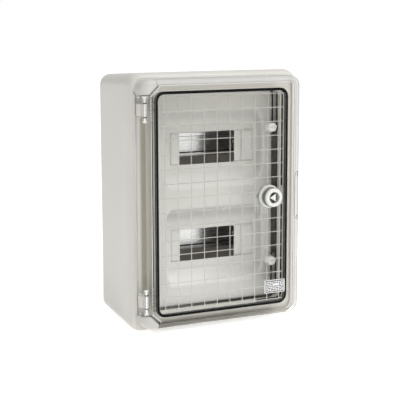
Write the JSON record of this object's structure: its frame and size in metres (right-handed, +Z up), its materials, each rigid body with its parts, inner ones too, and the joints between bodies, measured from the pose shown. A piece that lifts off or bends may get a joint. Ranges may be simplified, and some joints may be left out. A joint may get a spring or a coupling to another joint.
{
  "type": "dc combiner box",
  "caption": "Wall-mounted plastic enclosure with a clear hinged door, a hinged inner cover with two device windows over DIN rails, and a quarter-turn lock.",
  "frame": {"origin": "centre of the wall face at the back of the base", "axes": "+Z up; -Y out of the door, away from the wall; +X to the right as the door is faced"},
  "size_m": [0.262, 0.173, 0.362],
  "materials": {
    "grey_abs": "light grey moulded ABS, satin",
    "grey_plug": "grey moulded plug",
    "galvanised_steel": "bright zinc plated sheet steel",
    "zinc_screw": "zinc plated",
    "cam_steel": "zinc plated",
    "pin_steel": "polished steel pin",
    "post_grey": "grey moulded post",
    "clear_polycarbonate": "clear moulded polycarbonate, gloss",
    "black_gasket": "black foam rubber",
    "label_white": "blank white label",
    "lock_white": "white moulded plastic",
    "core_white": "white moulded plastic",
    "lock_nut_grey": "dark olive grey plastic",
    "cover_grey": "light grey moulded ABS, satin",
    "fastener_white": "white moulded plastic"
  },
  "bodies": {
    "enclosure": {"base_shell": "grey_abs", "fixing_plug_lower_left": "grey_plug", "fixing_plug_lower_right": "grey_plug", "fixing_plug_upper_left": "grey_plug", "fixing_plug_upper_right": "grey_plug", "din_rail_upper": "galvanised_steel", "din_rail_lower": "galvanised_steel", "rail_post_upper_left": "post_grey", "rail_post_upper_right": "post_grey", "rail_post_lower_left": "post_grey", "rail_post_lower_right": "post_grey", "rail_screw_upper_left": "zinc_screw", "rail_screw_upper_right": "zinc_screw", "rail_screw_lower_left": "zinc_screw", "rail_screw_lower_right": "zinc_screw", "hinge_pin_upper": "pin_steel", "hinge_pin_lower": "pin_steel", "cover_hinge_pin_upper": "pin_steel", "cover_hinge_pin_lower": "pin_steel"},
    "door": {"door": "clear_polycarbonate", "door_gasket": "black_gasket", "data_label": "label_white", "lock_body": "lock_white", "lock_seal": "black_gasket", "lock_nut": "lock_nut_grey"},
    "lock_core": {"lock_core": "core_white", "lock_cam": "cam_steel", "lock_cam_screw": "zinc_screw"},
    "inner_cover": {"inner_cover": "cover_grey"},
    "cover_fastener_upper": {"cover_fastener_upper": "fastener_white", "cover_pawl_upper": "cam_steel"},
    "cover_fastener_lower": {"cover_fastener_lower": "fastener_white", "cover_pawl_lower": "cam_steel"}
  },
  "joints": [
    {"name": "door_hinge", "type": "hinge", "parent": "enclosure", "child": "door", "pos_m": [-0.1182, -0.15, 0], "axis": [0, 0, -1], "range_deg": [0, 90]},
    {"name": "lock_turn", "type": "hinge", "parent": "door", "child": "lock_core", "pos_m": [0.0705, -0.1396, 0.003], "axis": [0, -1, 0], "range_deg": [0, 90]},
    {"name": "inner_cover_hinge", "type": "hinge", "parent": "enclosure", "child": "inner_cover", "pos_m": [-0.0945, -0.111, 0], "axis": [0, 0, -1], "range_deg": [0, 71]},
    {"name": "cover_fastener_upper_turn", "type": "hinge", "parent": "inner_cover", "child": "cover_fastener_upper", "pos_m": [0.0915, -0.13, 0.0985], "axis": [0, -1, 0], "range_deg": [0, 90]},
    {"name": "cover_fastener_lower_turn", "type": "hinge", "parent": "inner_cover", "child": "cover_fastener_lower", "pos_m": [0.0915, -0.13, -0.0985], "axis": [0, 1, 0], "range_deg": [0, 90]}
  ],
  "couplings": [
    {"joint": "inner_cover_hinge", "follows": "door_hinge", "ratio": 0.78}
  ]
}
